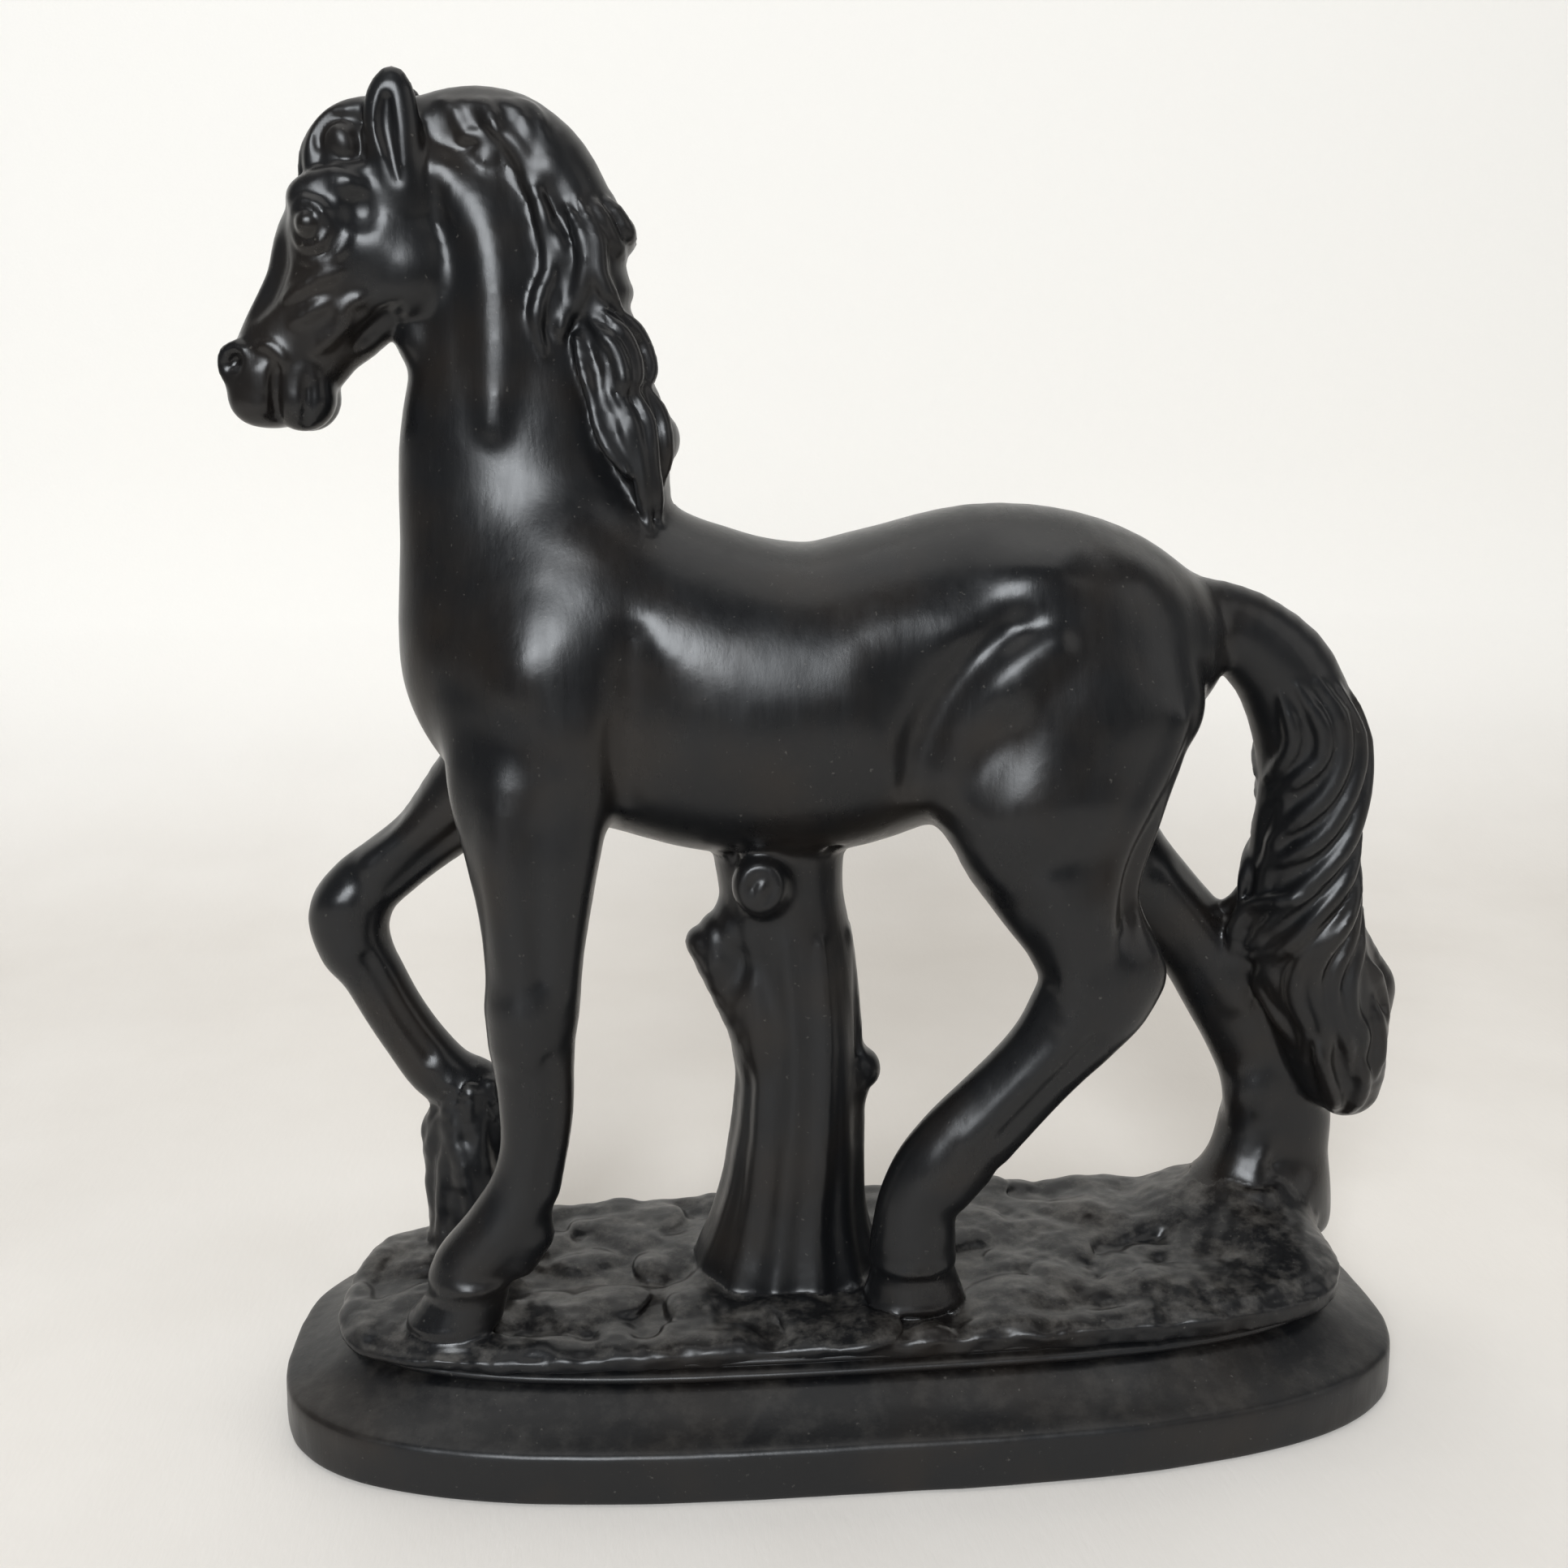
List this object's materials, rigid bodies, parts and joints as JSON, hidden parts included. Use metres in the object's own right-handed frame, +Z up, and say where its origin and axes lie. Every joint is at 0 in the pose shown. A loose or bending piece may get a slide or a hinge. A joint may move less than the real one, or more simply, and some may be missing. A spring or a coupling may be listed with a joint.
{
  "type": "horse figure book end",
  "caption": "Standing cast horse with one foreleg raised, supported by a tree stump on an oval moulded plinth, painted satin black, heavy enough to hold books upright.",
  "frame": {"origin": "centre of the plinth's flat underside, at table height", "axes": "+X runs along the plinth towards the tail, the horse faces -X, +Y points away from the near side that faces the viewer, +Z is up"},
  "size_m": [0.2666, 0.105, 0.288],
  "materials": {
    "painted_plinth": "satin black paint over cast plaster, fine brush streaks, small pale chips at the lower rim",
    "painted_ground": "satin black paint over rough cast ground, pale dust in the hollows",
    "painted_bark": "satin black paint over upright bark flutes",
    "painted_hair": "slightly glossier black paint over combed locks",
    "painted_horse": "satin black paint over smooth modelling, fine brush streaks"
  },
  "bodies": {
    "root": {"plinth_base": "painted_plinth", "plinth_moulding": "painted_plinth", "rocky_ground": "painted_ground", "rock_mound": "painted_ground", "grass_tuft": "painted_hair", "tree_stump": "painted_bark", "stump_branch_stub": "painted_bark", "stump_knob": "painted_bark", "body": "painted_horse", "neck": "painted_horse", "head": "painted_horse", "near_ear": "painted_horse", "far_ear": "painted_horse", "forelock": "painted_hair", "mane": "painted_hair", "tail": "painted_hair", "near_foreleg": "painted_horse", "near_fore_hoof": "painted_horse", "far_forearm": "painted_horse", "far_fore_cannon": "painted_horse", "far_fore_hoof": "painted_horse", "near_hind_leg": "painted_horse", "near_hind_hoof": "painted_horse", "far_hind_leg": "painted_horse"}
  },
  "joints": []
}
